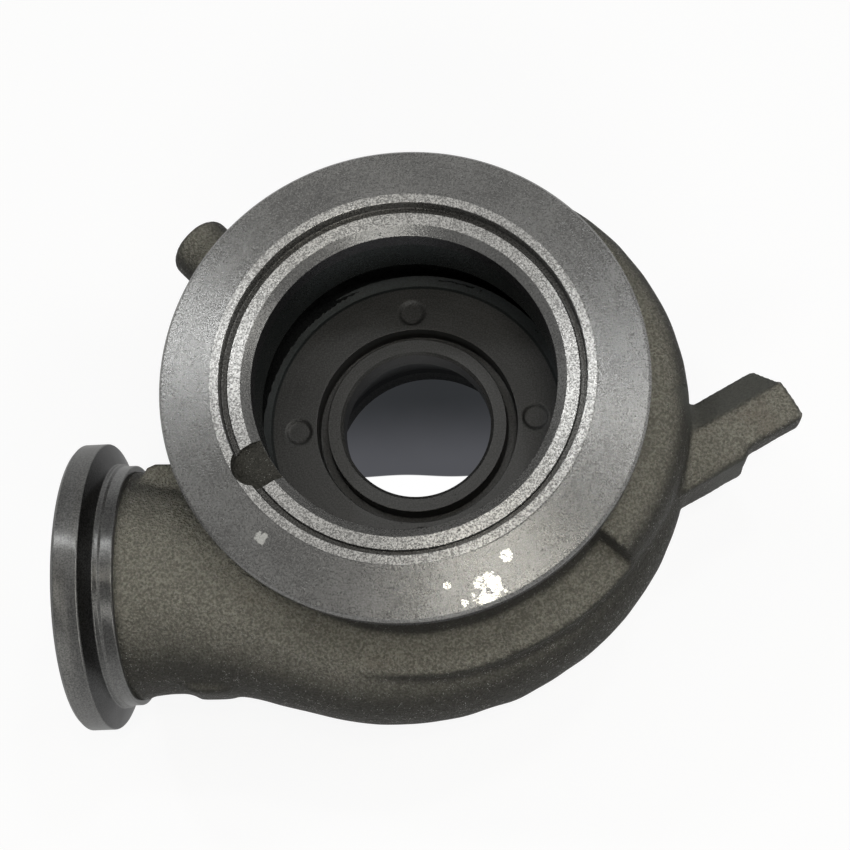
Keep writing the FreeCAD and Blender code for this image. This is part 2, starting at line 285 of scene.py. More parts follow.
class Tree:
    """A material's or world's node tree and the one method that adds nodes to it."""

    def __init__(self, owner: bpy.types.ID) -> None:
        """Empties the tree of a new material or world."""
        self.owner = owner
        owner.use_nodes = True
        self.nodes = owner.node_tree.nodes
        self.links = owner.node_tree.links
        self.nodes.clear()

    def node(self, kind: str, settings: dict[str, Any] | None = None, inputs: dict[Any, Any] | None = None,
             output: int | str = 0) -> Value:
        """Adds a node.

        Args:
            kind: The node's type.
            settings: Properties that are set first. The key stops holds a ramp's stops.
            inputs: Values or links by socket name or number.
            output: The output wanted, by name or number.

        Returns:
            That output's value.
        """
        made = self.nodes.new(kind)
        for key, setting in (settings or {}).items():
            if key == "stops":
                self.set_stops(made, setting)
            else:
                setattr(made, key, setting)
        for key, given in (inputs or {}).items():
            if isinstance(given, Value):
                self.links.new(given.socket, made.inputs[key])
            else:
                made.inputs[key].default_value = given
        return Value(self, made.outputs[output] if len(made.outputs) else made.inputs[0])

    @staticmethod
    def set_stops(made: bpy.types.Node, stops: Sequence[tuple[float, tuple[float, float, float]]]) -> None:
        """Gives a colour ramp its stops."""
        elements = made.color_ramp.elements
        while len(elements) < len(stops):
            elements.new(0.5)
        for element, (place, colour) in zip(elements, stops):
            element.position = place
            element.color = (*colour, 1.0)

    def maths(self, operation: str, first: Any, second: Any = 0.0) -> Value:
        """A Math node on one or two values."""
        return self.node("ShaderNodeMath", {"operation": operation}, {0: first, 1: second})

    def place(self) -> Value:
        """Object coordinates, in metres."""
        return self.node("ShaderNodeTexCoord", output="Object")

    def vector(self, operation: str, first: Any, second: Any = (0.0, 0.0, 0.0),
               output: int | str = 0) -> Value:
        """A Vector Math node on two vectors."""
        return self.node("ShaderNodeVectorMath", {"operation": operation}, {0: first, 1: second}, output)

    def noise(self, size: float, detail: float = 2.0, rough: float = 0.5, at: Value | None = None) -> Value:
        """Noise from 0 to 1 whose largest lumps measure a size in millimetres."""
        inputs = {"Vector": at or self.place(), "Scale": 1.0 / (size * MM), "Detail": detail,
                  "Roughness": rough}
        return self.node("ShaderNodeTexNoise", {}, inputs)

    def spots(self, size: float, at: Value | None = None) -> Value:
        """Distance from the nearest of scattered points, in cells of a size in millimetres."""
        inputs = {"Vector": at or self.place(), "Scale": 1.0 / (size * MM)}
        return self.node("ShaderNodeTexVoronoi", {}, inputs)

    def mix(self, share: Any, first: Any, second: Any) -> Value:
        """Two colours mixed by a share."""
        colours = {key: given if isinstance(given, Value) else (*given, 1.0)
                   for key, given in ((6, first), (7, second))}
        return self.node("ShaderNodeMix", {"data_type": "RGBA"}, {0: share, **colours}, 2)

    def attribute(self, name: str) -> Value:
        """A number stored on the mesh."""
        return self.node("ShaderNodeAttribute", {"attribute_name": name}, output="Fac")

    def bump(self, height: Value, distance: float, under: Value | None = None) -> Value:
        """A Bump node whose height of 1 stands for a distance in millimetres."""
        inputs: dict[str, Any] = {"Height": height, "Distance": distance * MM}
        if under is not None:
            inputs["Normal"] = under
        return self.node("ShaderNodeBump", {}, inputs)

    def seen(self) -> Value:
        """1 for rays that show the background, straight, mirrored or through glass, and 0 for its light."""
        paths = self.node("ShaderNodeLightPath", output="Is Camera Ray")
        glossy = Value(self, paths.socket.node.outputs["Is Glossy Ray"])
        through = Value(self, paths.socket.node.outputs["Is Transmission Ray"])
        return self.maths("MINIMUM", paths + glossy + through, 1.0)

    def surface(self, inputs: dict[str, Any]) -> bpy.types.Material:
        """Ends the material in a Principled shader and returns it."""
        shader = self.node("ShaderNodeBsdfPrincipled", {}, inputs)
        self.node("ShaderNodeOutputMaterial", {}, {"Surface": shader})
        return self.owner


Colour = tuple[float, float, float]
# What a band lies on, where it starts and ends, and its colour
Band = tuple[Cut, float, float, Colour]
# Position, size and brightness of a bright nick mark, partly a painted highlight
NickAndHighlight = tuple[float, float, float, float, float]


@dataclass(frozen=True)
class CastFinish:
    """Sand-cast skin: olive grey, grainy, worn at edges, with glints, and painted shade on its steep sides.
    """

    name: str = "cast_iron_skin"
    dark: Colour = (0.225, 0.218, 0.184)
    light: Colour = (0.480, 0.464, 0.392)
    warm: Colour = (0.215, 0.172, 0.135)
    # Painted shade for steep sides, which stand darker than the faces turned up
    side: Colour = (0.052, 0.051, 0.046)
    worn: Colour = (0.50, 0.49, 0.46)
    # Painted shade in the filled hollows of the joins
    shade: Colour = (0.030, 0.029, 0.025)
    # Painted shade, near black, deep in the passages and the throat
    deep_shade: Colour = (0.006, 0.007, 0.007)
    # The lug's drafted faces: a smoother grey skin, and partly painted shade
    smooth: Colour = (0.105, 0.108, 0.097)
    gloss: float = 0.22
    grain: float = 0.62
    lump: float = 1.5
    patch: float = 15.0
    depth: float = 1.7
    glint: float = 0.55

    def material(self) -> bpy.types.Material:
        """Builds the material: grain, lumps, warm patches, worn edges, glints and painted shade."""
        tree = Tree(bpy.data.materials.new(self.name))
        grain = tree.noise(self.grain, 3.0, 0.60)
        lump = tree.noise(self.lump, 2.0, 0.5)
        patch = tree.noise(self.patch, 3.0, 0.55)
        smooth = tree.attribute("smooth")
        tone = (grain * 0.80 + lump * 0.15 + patch * 0.15).step(0.42, 0.72)
        colour = tree.mix(tone, self.dark, self.light)
        colour = tree.mix((patch + lump * 0.2).step(0.66, 0.88) * 0.4, colour, self.warm)
        # Painted shade: the less a corner faces up, the more it takes the dark side colour
        colour = tree.mix((1.0 - tree.attribute("top")) * 0.90, colour, self.side)
        # Drafted faces take a darker colour: their smoother skin, and partly painted shade
        colour = tree.mix(smooth * 0.8, colour, self.smooth)
        # Painted shade in the fillets' hollows, by the hollow share
        colour = tree.mix(tree.attribute("hollow") * 0.6, colour, self.shade)
        edge = tree.attribute("edge")
        rubbed = (edge * 0.8 + grain * 0.9 - 0.55).step(0.35, 0.75) * edge.step(0.15, 0.7)
        colour = tree.mix(rubbed * 0.45, colour, self.worn)
        deep = tree.attribute("deep")
        # Painted shade deep in the passages and the throat
        colour = tree.mix(deep, colour, self.deep_shade)
        glint = (1.0 - tree.spots(self.glint).step(0.12, 0.34)) * (lump + patch * 0.4).step(0.66, 0.82)
        glint = glint * (1.0 - smooth) * (1.0 - deep)
        colour = tree.mix(glint * 0.8, colour, self.worn)
        rough = 0.62 - rubbed * 0.14 + (0.5 - grain) * 0.40 + deep * 0.4 - glint * 0.26
        height = (grain * 0.9 + lump * 0.55) * (1.0 - smooth * 0.6)
        normal = tree.bump(height, self.depth)
        inputs = {"Base Color": colour, "Roughness": rough, "Metallic": glint * 0.9,
                  "Specular IOR Level": self.gloss, "Normal": normal}
        return tree.surface(inputs)


@dataclass(frozen=True)
class TurnedFinish:
    """Lathe-turned grey iron: fine rings about an axis, open graphite pores and a dry grain."""

    name: str
    axis: Axis = TURBINE_AXIS
    base: Colour = (0.170, 0.169, 0.165)
    pale: Colour = (0.315, 0.313, 0.306)
    pore: Colour = (0.05, 0.047, 0.044)
    metallic: float = 0.8
    roughness: float = 0.28
    anisotropy: float = 0.0
    across_rings: float = 0.25
    ring: float = 0.40
    ring_depth: float = 0.006
    drift: float = 9.0
    drift_across: float = 0.25
    drift_aside: float = 0.6
    grain: float = 0.42
    grain_depth: float = 0.060
    cloud: float = 13.0
    pore_cell: float = 1.15
    bands: tuple[Band, ...] = ()
    band_dark: float = 0.6
    band_pale: float = 1.7
    band_blur: float = 0.15
    nicks_and_highlights: tuple[NickAndHighlight, ...] = ()

    def rings(self, tree: Tree) -> tuple[Value, Value, Value]:
        """Fields that follow the tool.

        The offset from the axis is split into its part along the axis and its length across it. Noise is
        read at (length across + a little drift, place along, a little drift), where the drift is noise
        itself, so the rings waver slowly round the axis.

        Args:
            tree: The material's tree.

        Returns:
            The ring pattern, the distance from the axis and the place along it, both in millimetres.
        """
        origin = tuple(v * MM for v in self.axis.origin)
        offset = tree.vector("SUBTRACT", tree.place(), origin)
        along = tree.vector("DOT_PRODUCT", offset, tuple(self.axis.frame()[2]), "Value")
        whole = tree.vector("LENGTH", offset, output="Value")
        across = tree.maths("SQRT", tree.maths("MAXIMUM", whole ** 2.0 - along ** 2.0, 0.0))
        drift = tree.noise(self.drift, 1.0)
        inputs = {0: across + drift * (self.drift_across * MM), 1: along, 2: drift * (self.drift_aside * MM)}
        where = tree.node("ShaderNodeCombineXYZ", {}, inputs)
        return tree.noise(self.ring, 2.0, 0.7, where), across / MM, along / MM

    def material(self) -> bpy.types.Material:
        """Builds the material from rings, grain, pores, coloured bands, and bright nick marks partly painted
        as highlights.
        """
        tree = Tree(bpy.data.materials.new(self.name))
        ring, across, along = self.rings(tree)
        grain = tree.noise(self.grain, 2.0, 0.72)
        cloud = tree.noise(self.cloud, 3.0, 0.6)
        pores = 1.0 - tree.spots(self.pore_cell).step(0.05, 0.17)
        pores = pores * cloud.step(0.46, 0.60)
        tone = (ring * 0.18 + grain * 0.82 + cloud * 0.22).step(0.46, 0.78)
        colour = tree.mix(tone, self.base, self.pale)
        speck = grain.step(0.40, 0.62)
        blur = self.band_blur
        for cut, low, high, tint in self.bands:
            reach = across if cut is Cut.FACE else along
            inside = reach.step(low - blur, low + blur) * (1.0 - reach.step(high - blur, high + blur))
            dark, pale = (tuple(level * part for part in tint) for level in (self.band_dark, self.band_pale))
            colour = tree.mix(inside, colour, tree.mix(speck, dark, pale))
        colour = tree.mix(pores * 0.8, colour, self.pore)
        rough = self.roughness + (grain - 0.5) * 0.22 + pores * 0.2 + (cloud - 0.5) * 0.16
        # Bright nick marks: real wear, partly painted highlights
        for x, y, z, size, tint in self.nicks_and_highlights:
            gap = tree.vector("DISTANCE", tree.place(), (x * MM, y * MM, z * MM), "Value")
            near = 1.0 - (gap / (size * MM)).step(0.25, 1.0)
            bright = (near * 0.32 + tree.noise(size * 0.42, 4.0, 0.72)).step(0.70, 0.76) * near.step(0.0, 0.2)
            colour = tree.mix(bright, colour, (tint, tint, 0.95 * tint))
            rough = rough - bright * 0.18
        under = tree.bump(ring, self.ring_depth)
        normal = tree.bump(grain * 0.8 - pores * 1.5, self.grain_depth, under)
        inputs = {"Base Color": colour, "Roughness": rough, "Metallic": self.metallic,
                  "Anisotropic": self.anisotropy, "Anisotropic Rotation": self.across_rings, "Normal": normal}
        return tree.surface(inputs)


# The turned pieces


@dataclass
class BearingFlange:
    """Clamp flange for the bearing housing, with its contact ring, seat, pilot bore and relief."""

    top: float = 83.0
    contact_step: float = 0.4
    contact_inner: float = 42.9
    contact_outer: float = 45.2
    seat_inner: float = 38.2
    seat_outer: float = 41.3
    seat_height: float = 80.5
    groove_depth: float = 0.7
    lead_in_depth: float = 1.9
    pilot_radius: float = 36.0
    pilot_end: float = 73.5
    relief: float = 0.6
    throat_top: float = 59.0
    rim_radius: float = 57.6
    rim_chamfer: float = 0.6
    rim_height: float = 4.4
    face_fall: float = 2.3
    back_angle: float = 20.0
    neck_radius: float = 53.0
    segments: int = 360
    notch_angle: float = 212.0
    notch_width: float = 10.6
    notch_reach: float = 45.2
    notch_start: float = 30.0
    notch_floor: float = 78.7
    notch_steps: int = 25
    cutter_top: float = 90.0
    # Distances of the corners that lie hidden in the iron
    neck_tuck: tuple[float, float] = (1.2, 1.6)
    throat_wall: float = 3.2
    core_wall: float = 5.6
    core_rise: float = 2.6
    core_tuck: tuple[float, float] = (6.0, 3.0)
    # Colours of the turned bands, with painted shade in the groove and bores, and the bright nick marks in
    # the face, partly painted highlights
    seat_colour: Colour = (0.33, 0.328, 0.32)
    # Painted shade in the groove and down the pilot bore and its relief
    groove_shade: Colour = (0.060, 0.059, 0.056)
    pilot_shade: Colour = (0.022, 0.022, 0.025)
    throat_shade: Colour = (0.012, 0.018, 0.018)
    # Nick marks in the face, partly painted highlights
    nicks_and_highlights: tuple[NickAndHighlight, ...] = (
        (20.0, -50.6, 80.9, 6.2, 0.42), (10.8, -49.6, 81.3, 1.5, 0.6), (14.7, -53.4, 80.5, 1.6, 0.5),
        (24.0, -43.0, 81.9, 2.6, 0.42), (-31.6, -38.2, 81.8, 2.8, 0.97))

    def finish(self) -> TurnedFinish:
        """Turned iron with a pale seat and contact ring, and painted shade in the groove between them and in
        the bores.
        """
        bands = ((Cut.FACE, self.seat_inner, self.contact_outer, self.seat_colour),
                 (Cut.FACE, self.seat_outer, self.contact_inner, self.groove_shade),
                 (Cut.BORE, self.pilot_end, self.lead_in_end(), self.pilot_shade),
                 (Cut.BORE, self.throat_top, self.pilot_end, self.throat_shade))
        return TurnedFinish("turned_flange", anisotropy=0.86, bands=bands, nicks_and_highlights=self.nicks_and_highlights)

    def lead_in_end(self) -> float:
        """Height at which the lead-in runs into the pilot bore."""
        return self.seat_height - self.lead_in_depth

    def face_outer(self) -> float:
        """Height of the face at its outer edge."""
        return self.top - self.contact_step - self.face_fall

    def rim_bottom(self) -> float:
        """Height at which the rim ends and its conical back begins."""
        return self.face_outer() - self.rim_height

    def corners(self) -> list[tuple[float, float, float]]:
        """The profile's corners, up the rim's back, over the face, down the bore and back inside the iron."""
        face_outer = self.face_outer()
        rim_bottom = self.rim_bottom()
        slope = math.tan(math.radians(self.back_angle))
        neck_top = rim_bottom - (self.rim_radius - self.neck_radius) * slope
        groove = self.seat_height - self.groove_depth
        relief_radius = self.pilot_radius + self.relief
        return [
            (self.neck_radius - self.neck_tuck[0], neck_top - self.neck_tuck[1], 0.0),
            (self.neck_radius, neck_top, 0.3),
            (self.rim_radius, rim_bottom, 0.35),
            (self.rim_radius, face_outer - self.rim_chamfer, 0.2),
            (self.rim_radius - self.rim_chamfer, face_outer, 0.25),
            (self.contact_outer, self.top - self.contact_step, 0.12),
            (self.contact_outer, self.top, 0.14),
            (self.contact_inner, self.top, 0.2),
            (self.contact_inner, groove, 0.4),
            (self.seat_outer, groove, 0.3),
            (self.seat_outer, self.seat_height, 0.15),
            (self.seat_inner, self.seat_height, 0.12),
            (self.pilot_radius, self.lead_in_end(), 0.15),
            (self.pilot_radius, self.pilot_end, 0.1),
            (relief_radius, self.pilot_end - self.relief, 0.1),
            (relief_radius, self.throat_top, 0.35),
            (relief_radius + self.throat_wall, self.throat_top, 0.0),
            (relief_radius + self.core_wall, self.throat_top + self.core_rise, 0.0),
            (self.neck_radius - self.core_tuck[0], neck_top - self.core_tuck[1], 0.0),
        ]

    def notch_cutter(self) -> bpy.types.Object:
        """A slot with a round outer end, as a closed prism that cuts the clamp notch."""
        half = self.notch_width / 2.0
        turns = np.linspace(-math.pi / 2.0, math.pi / 2.0, self.notch_steps)
        middle = self.notch_reach - half
        outline = np.concatenate([[[self.notch_start, half], [self.notch_start, -half]],
                                  np.stack([middle + half * np.cos(turns), half * np.sin(turns)], axis=1)])
        spin = math.radians(self.notch_angle)
        turn = np.array([[math.cos(spin), math.sin(spin)], [-math.sin(spin), math.cos(spin)]])
        flat = outline @ turn
        count = len(flat)
        levels = (self.notch_floor, self.cutter_top)
        points = np.concatenate([np.c_[flat, np.full(count, level)] for level in levels])
        mesh = bpy.data.meshes.new("notch_cutter")
        sides = [(i, (i + 1) % count, count + (i + 1) % count, count + i) for i in range(count)]
        caps = [tuple(range(count))[::-1], tuple(range(count, 2 * count))]
        mesh.from_pydata((points * MM).tolist(), [], sides + caps)
        cutter = bpy.data.objects.new("notch_cutter", mesh)
        bpy.context.scene.collection.objects.link(cutter)
        return cutter

    def build(self, cast: bpy.types.Material) -> bpy.types.Object:
        """Makes the flange and cuts the clamp notch, which keeps its cast surface.

        Args:
            cast: Finish of the notch.

        Returns:
            The finished piece.
        """
        turned = self.finish().material()
        loop = rounded_loop(self.corners())
        points, quads = turned_grid(TURBINE_AXIS, loop, self.segments)
        piece = add_piece("bearing_flange", points, quads)
        piece.data.materials.append(turned)
        piece.data.materials.append(cast)
        cutter = self.notch_cutter()
        cutter.data.materials.append(cast)
        cut = piece.modifiers.new("notch", "BOOLEAN")
        cut.operation = "DIFFERENCE"
        cut.solver = "EXACT"
        cut.material_mode = "TRANSFER"
        cut.object = cutter
        graph = bpy.context.evaluated_depsgraph_get()
        mesh = bpy.data.meshes.new_from_object(piece.evaluated_get(graph))
        piece.modifiers.clear()
        piece.data = mesh
        bpy.data.objects.remove(cutter)
        finish_piece(piece)
        return piece


@dataclass
class CavityAndOutlet:
    """Cavity floor, shroud ring with its groove, exducer bore, outlet bore and outlet clamp flange."""

    floor: float = 41.6
    lip_radius: float = 40.0
    floor_radius: float = 37.5
    lip_rise: float = 1.05
    exducer_radius: float = 18.8
    exducer_edge: float = 0.8
    exducer_bottom: float = 34.1
    ring_outer: float = 22.9
    groove_outer: float = 25.6
    groove_bottom: float = 35.6
    outlet_radius: float = 25.5
    outlet_straight: float = 10.0
    duct_radius: float = 29.7
    flange_radius: float = 36.0
    flange_rim: float = 4.2
    flange_edge: float = 0.6
    back_angle: float = 20.0
    segments: int = 400
    mark_count: int = 4
    mark_circle: float = 30.2
    mark_radius: float = 3.1
    mark_depth: float = 0.5
    mark_start: float = 3.0
    mark_slope_in: float = 0.35
    mark_slope_out: float = 0.3
    mark_margin: float = 0.7
    groove_margin: float = 0.6
    floor_step: float = 0.33
    flat_start: float = 0.4
    flat_end: float = 0.5
    flat_within: float = 0.01
    # Distances of the corners that lie hidden in the iron
    duct_tuck: tuple[float, float] = (0.8, 1.6)
    duct_wall: float = 1.8
    duct_top: float = 29.0
    core_wall: float = 2.0
    lip_tuck: tuple[float, float] = (1.5, 2.2)
    # The coloured bands: painted shade where the floor meets the throat, and the clamp flange's paler iron
    floor_shade_in: float = 0.7
    floor_shade_out: float = 1.0
    floor_shade_colour: Colour = (0.008, 0.011, 0.011)
    clamp_start: float = -1.0
    clamp_colour: Colour = (0.15, 0.15, 0.147)

    def finish(self) -> TurnedFinish:
        """Dull dark turned iron, with painted shade where the cavity floor ends, and paler on the clamp
        flange.
        """
        floor_shade_start = self.floor_radius - self.floor_shade_in
        floor_shade_end = self.lip_radius + self.floor_shade_out
        # Painted shade round the floor's outer edge
        bands = ((Cut.FACE, floor_shade_start, floor_shade_end, self.floor_shade_colour),
                 (Cut.BORE, self.clamp_start, self.back(), self.clamp_colour))
        return TurnedFinish("turned_cavity", base=(0.040, 0.040, 0.039), pale=(0.085, 0.085, 0.083),
                            roughness=0.5, metallic=0.4, ring_depth=0.012, bands=bands)

    def back(self) -> float:
        """Height at which the conical back of the clamp flange runs into the duct."""
        slope = math.tan(math.radians(self.back_angle))
        return self.flange_rim + (self.flange_radius - self.duct_radius) * slope

    def corners(self) -> list[tuple[float, float, float]]:
        """The profile's corners, from the throat's lip inwards, down the bores, round the flange and back."""
        floor_outer = self.mark_circle + self.mark_radius + self.mark_margin
        inner = np.arange(floor_outer, self.groove_outer + self.groove_margin, -self.floor_step)
        floor_points = [(float(radius), self.floor, 0.0) for radius in inner]
        return [
            (self.lip_radius, self.floor + self.lip_rise, 0.0),
            (self.floor_radius, self.floor, 0.3),
            *floor_points,
            (self.groove_outer, self.floor, 0.2),
            (self.groove_outer, self.groove_bottom, 0.5),
            (self.ring_outer, self.groove_bottom, 0.5),
            (self.ring_outer, self.floor, 0.25),
            (self.exducer_radius + self.exducer_edge, self.floor, 0.12),
            (self.exducer_radius, self.floor - self.exducer_edge, 0.12),
            (self.exducer_radius, self.exducer_bottom, 0.4),
            (self.outlet_radius, self.outlet_straight, 0.4),
            (self.outlet_radius, 0.0, 0.4),
            (self.flange_radius - self.flange_edge, 0.0, 0.2),
            (self.flange_radius, self.flange_edge, 0.2),
            (self.flange_radius, self.flange_rim, 0.35),
            (self.duct_radius, self.back(), 0.4),
            (self.duct_radius - self.duct_tuck[0], self.back() + self.duct_tuck[1], 0.0),
            (self.duct_radius - self.duct_wall, self.duct_top, 0.0),
            (self.duct_radius + self.core_wall, self.exducer_bottom, 0.0),
            (self.lip_radius - self.lip_tuck[0], self.floor - self.lip_tuck[1], 0.0),
        ]

    def build(self) -> bpy.types.Object:
        """Makes the piece and sinks the round marks into its floor.

        A mark lowers the floor by its depth times a smooth step of the distance from the mark's centre.

        Returns:
            The finished piece.
        """
        turned = self.finish().material()
        loop = rounded_loop(self.corners())
        points, quads = turned_grid(TURBINE_AXIS, loop, self.segments)
        radius = np.hypot(points[:, 0], points[:, 1])
        on_floor = np.abs(points[:, 2] - self.floor) < self.flat_within
        on_floor &= radius > self.groove_outer + self.flat_start
        on_floor &= radius < self.floor_radius - self.flat_end
        inner, outer = self.mark_radius - self.mark_slope_in, self.mark_radius + self.mark_slope_out
        for i in range(self.mark_count):
            turn = math.radians(self.mark_start + 360.0 * i / self.mark_count)
            x, y = self.mark_circle * math.cos(turn), self.mark_circle * math.sin(turn)
            gap = np.hypot(points[:, 0] - x, points[:, 1] - y)
            dip = 1.0 - ramp(gap, inner, outer)
            points[:, 2] -= np.where(on_floor, self.mark_depth * dip, 0.0)
        piece = add_piece("cavity_floor_and_outlet", points, quads)
        piece.data.materials.append(turned)
        finish_piece(piece)
        return piece


@dataclass
class InletFlange:
    """Clamp flange of the gas inlet, its conical back, the turned ring behind it and the bore's mouth."""

    x: float = -80.9
    y: float = -42.0
    height: float = 45.0
    turn: float = 2.0
    radius: float = 35.3
    rim_width: float = 6.4
    edge: float = 0.8
    back_angle: float = 20.0
    ring_radius: float = 29.6
    ring_step: float = 0.5
    step_width: float = 1.2
    ring_width: float = 4.6
    bore_radius: float = 23.6
    lead_in: float = 1.6
    bore_depth: float = 11.0
    ring_wall: float = 3.6
    mouth_tuck: tuple[float, float] = (1.2, 0.4)
    segments: int = 288
    # Painted shade on the cone behind the rim
    cone_shade: Colour = (0.035, 0.035, 0.035)

    def finish(self) -> TurnedFinish:
        """Bright turned iron with clear rings, and painted shade on the cone behind the rim."""
        bands = ((Cut.BORE, self.rim_width, self.ring_end() - self.ring_width, self.cone_shade),)
        return TurnedFinish("turned_inlet", axis=self.axis(), base=(0.10, 0.10, 0.098),
                            pale=(0.20, 0.20, 0.195), roughness=0.33, anisotropy=0.9, ring_depth=0.012,
                            grain_depth=0.012, bands=bands)

    def axis(self) -> Axis:
        """The inlet's axis, from its face into the casting."""
        turn = math.radians(self.turn)
        return Axis((self.x, self.y, self.height), (math.cos(turn), math.sin(turn), 0.0))

    def cone(self) -> float:
        """Length of the rim's conical back, along the axis."""
        return (self.radius - self.ring_radius) * math.tan(math.radians(self.back_angle))

    def ring_end(self) -> float:
        """Distance from the face to the end of the turned ring."""
        return self.rim_width + self.ring_width + self.cone()

    def corners(self) -> list[tuple[float, float, float]]:
        """The profile's corners as radius, distance from the face and edge radius."""
        step_radius = self.ring_radius + self.ring_step
        step_at = self.rim_width + self.cone()
        end = self.ring_end()
        return [
            (self.bore_radius, self.bore_depth, 0.0),
            (self.bore_radius, self.lead_in, 0.2),
            (self.bore_radius + self.lead_in, 0.0, 0.2),
            (self.radius - self.edge, 0.0, 0.25),
            (self.radius, self.edge, 0.25),
            (self.radius, self.rim_width, 0.5),
            (step_radius, step_at, 0.35),
            (step_radius, step_at + self.step_width, 0.2),
            (self.ring_radius, step_at + self.step_width + self.ring_step, 0.2),
            (self.ring_radius, end, 0.35),
            (self.bore_radius + self.ring_wall, end, 0.0),
            (self.bore_radius + self.mouth_tuck[0], self.bore_depth + self.mouth_tuck[1], 0.0),
        ]

    def build(self) -> bpy.types.Object:
        """Makes the inlet flange in its finish."""
        turned = self.finish().material()
        loop = rounded_loop(self.corners())
        points, quads = turned_grid(self.axis(), loop, self.segments)
        piece = add_piece("inlet_flange", points, quads)
        piece.data.materials.append(turned)
        finish_piece(piece)
        return piece


# The cast skin


@dataclass
class GasPassage:
    """Course of the cored passage: down the neck from the inlet, then round the scroll to its tongue."""

    inlet: InletFlange
    scroll_inner: float = 39.0
    wall: float = 4.5
    start_angle: float = 270.0
    end_angle: float = 540.0
    start_outer: float = 75.4
    end_outer: float = 53.8
    start_height: float = 41.0
    end_height: float = 50.0
    neck_skin: float = 28.4
    neck_overlap: float = 1.0
    neck_shares: tuple[tuple[float, float, float], ...] = (
        (0.14, 0.02, 0.20), (0.38, 0.17, 0.43), (0.67, 0.62, 0.72), (1.0, 1.0, 1.0))

    def neck(self) -> np.ndarray:
        """Stations of the neck, from the inlet's face to where the scroll starts.

        A station lies a share of the way from the turned ring to the scroll's first section: one share along
        X, one in Y and height, and one in size, as the neck shares say. Through the rim the bore runs
        straight.

        Returns:
            Rows of X, Y, height and inner radius, in rising X.
        """
        axis = self.inlet.axis()
        face, along = np.array(axis.origin), axis.frame()[2]
        ring = face + along * (self.inlet.rim_width + self.inlet.ring_width - self.neck_overlap)
        last_radius = (self.start_outer - self.wall - self.scroll_inner) / 2.0
        target = np.array([0.0, last_radius + self.wall - self.start_outer, self.start_height])
        rim_back = face + along * self.inlet.rim_width
        rows = [[*face, self.inlet.bore_radius], [*rim_back, self.inlet.bore_radius]]
        first_radius = self.neck_skin - self.wall
        for forward, across, narrow in self.neck_shares:
            place = ring + np.array([forward, across, across]) * (target - ring)
            rows.append([*place, first_radius + narrow * (last_radius - first_radius)])
        return np.array(rows)

    def gap(self, points: np.ndarray) -> np.ndarray:
        """Distance of points outside the passage's wall.

        It is the distance from the centre line, in the plane across it, less the passage's own radius there.

        Args:
            points: Positions in millimetres, one row each.

        Returns:
            Millimetres from the wall, negative inside the passage.
        """
        x, y, height = points.T
        angle = np.degrees(np.arctan2(y, x)) % 360.0
        angle = np.where(angle < self.end_angle - 360.0, angle + 360.0, angle)
        share = np.clip((angle - self.start_angle) / (self.end_angle - self.start_angle), 0.0, 1.0)
        outer = self.start_outer + share * (self.end_outer - self.start_outer) - self.wall
        inside = (outer - self.scroll_inner) / 2.0
        level = self.start_height + share * (self.end_height - self.start_height)
        scroll = np.hypot(np.hypot(x, y) - (outer - inside), height - level) - inside
        line_x, line_y, line_height, line_radius = self.neck().T
        neck = np.hypot(y - np.interp(x, line_x, line_y), height - np.interp(x, line_x, line_height))
        neck -= np.interp(x, line_x, line_radius)
        return np.where((x < 0.0) & (angle < self.start_angle), neck, scroll)


@dataclass
class Lug:
    """The bracket lug's smooth drafted faces: its long far-side chamfer and the near side of its root rib."""

    angle: float = 29.5
    root: float = 52.0
    far_side: float = -32.0
    near_side: float = -49.7
    rib_near_side: float = -51.6
    chamfer: float = 7.8
    blend: float = 0.4
    margin: float = 1.2
    root_fade: float = 6.0

    def drafted(self, points: np.ndarray) -> np.ndarray:
        """1 on the two smooth faces, 0 elsewhere.

        A point's place across the lug, in the lug's own turned frame, decides. The chamfer lies between its
        start and the far side, the rib's face beyond the middle of the step from the bar to the rib.

        Args:
            points: Positions in millimetres, one row each.

        Returns:
            The share of smoothness, one number a point.
        """
        turn = math.radians(self.angle)
        along = points[:, 0] * math.cos(turn) + points[:, 1] * math.sin(turn)
        across = points[:, 1] * math.cos(turn) - points[:, 0] * math.sin(turn)
        slope_start = self.far_side - self.chamfer
        chamfer = ramp(across, slope_start - self.blend, slope_start + self.blend)
        chamfer *= across < self.far_side + self.margin
        step = (self.near_side + self.rib_near_side) / 2.0
        rib = 1.0 - ramp(across, step - self.blend, step + self.blend)
        rib *= across > self.rib_near_side - self.margin
        return np.maximum(chamfer, rib) * ramp(along, self.root, self.root + self.root_fade)


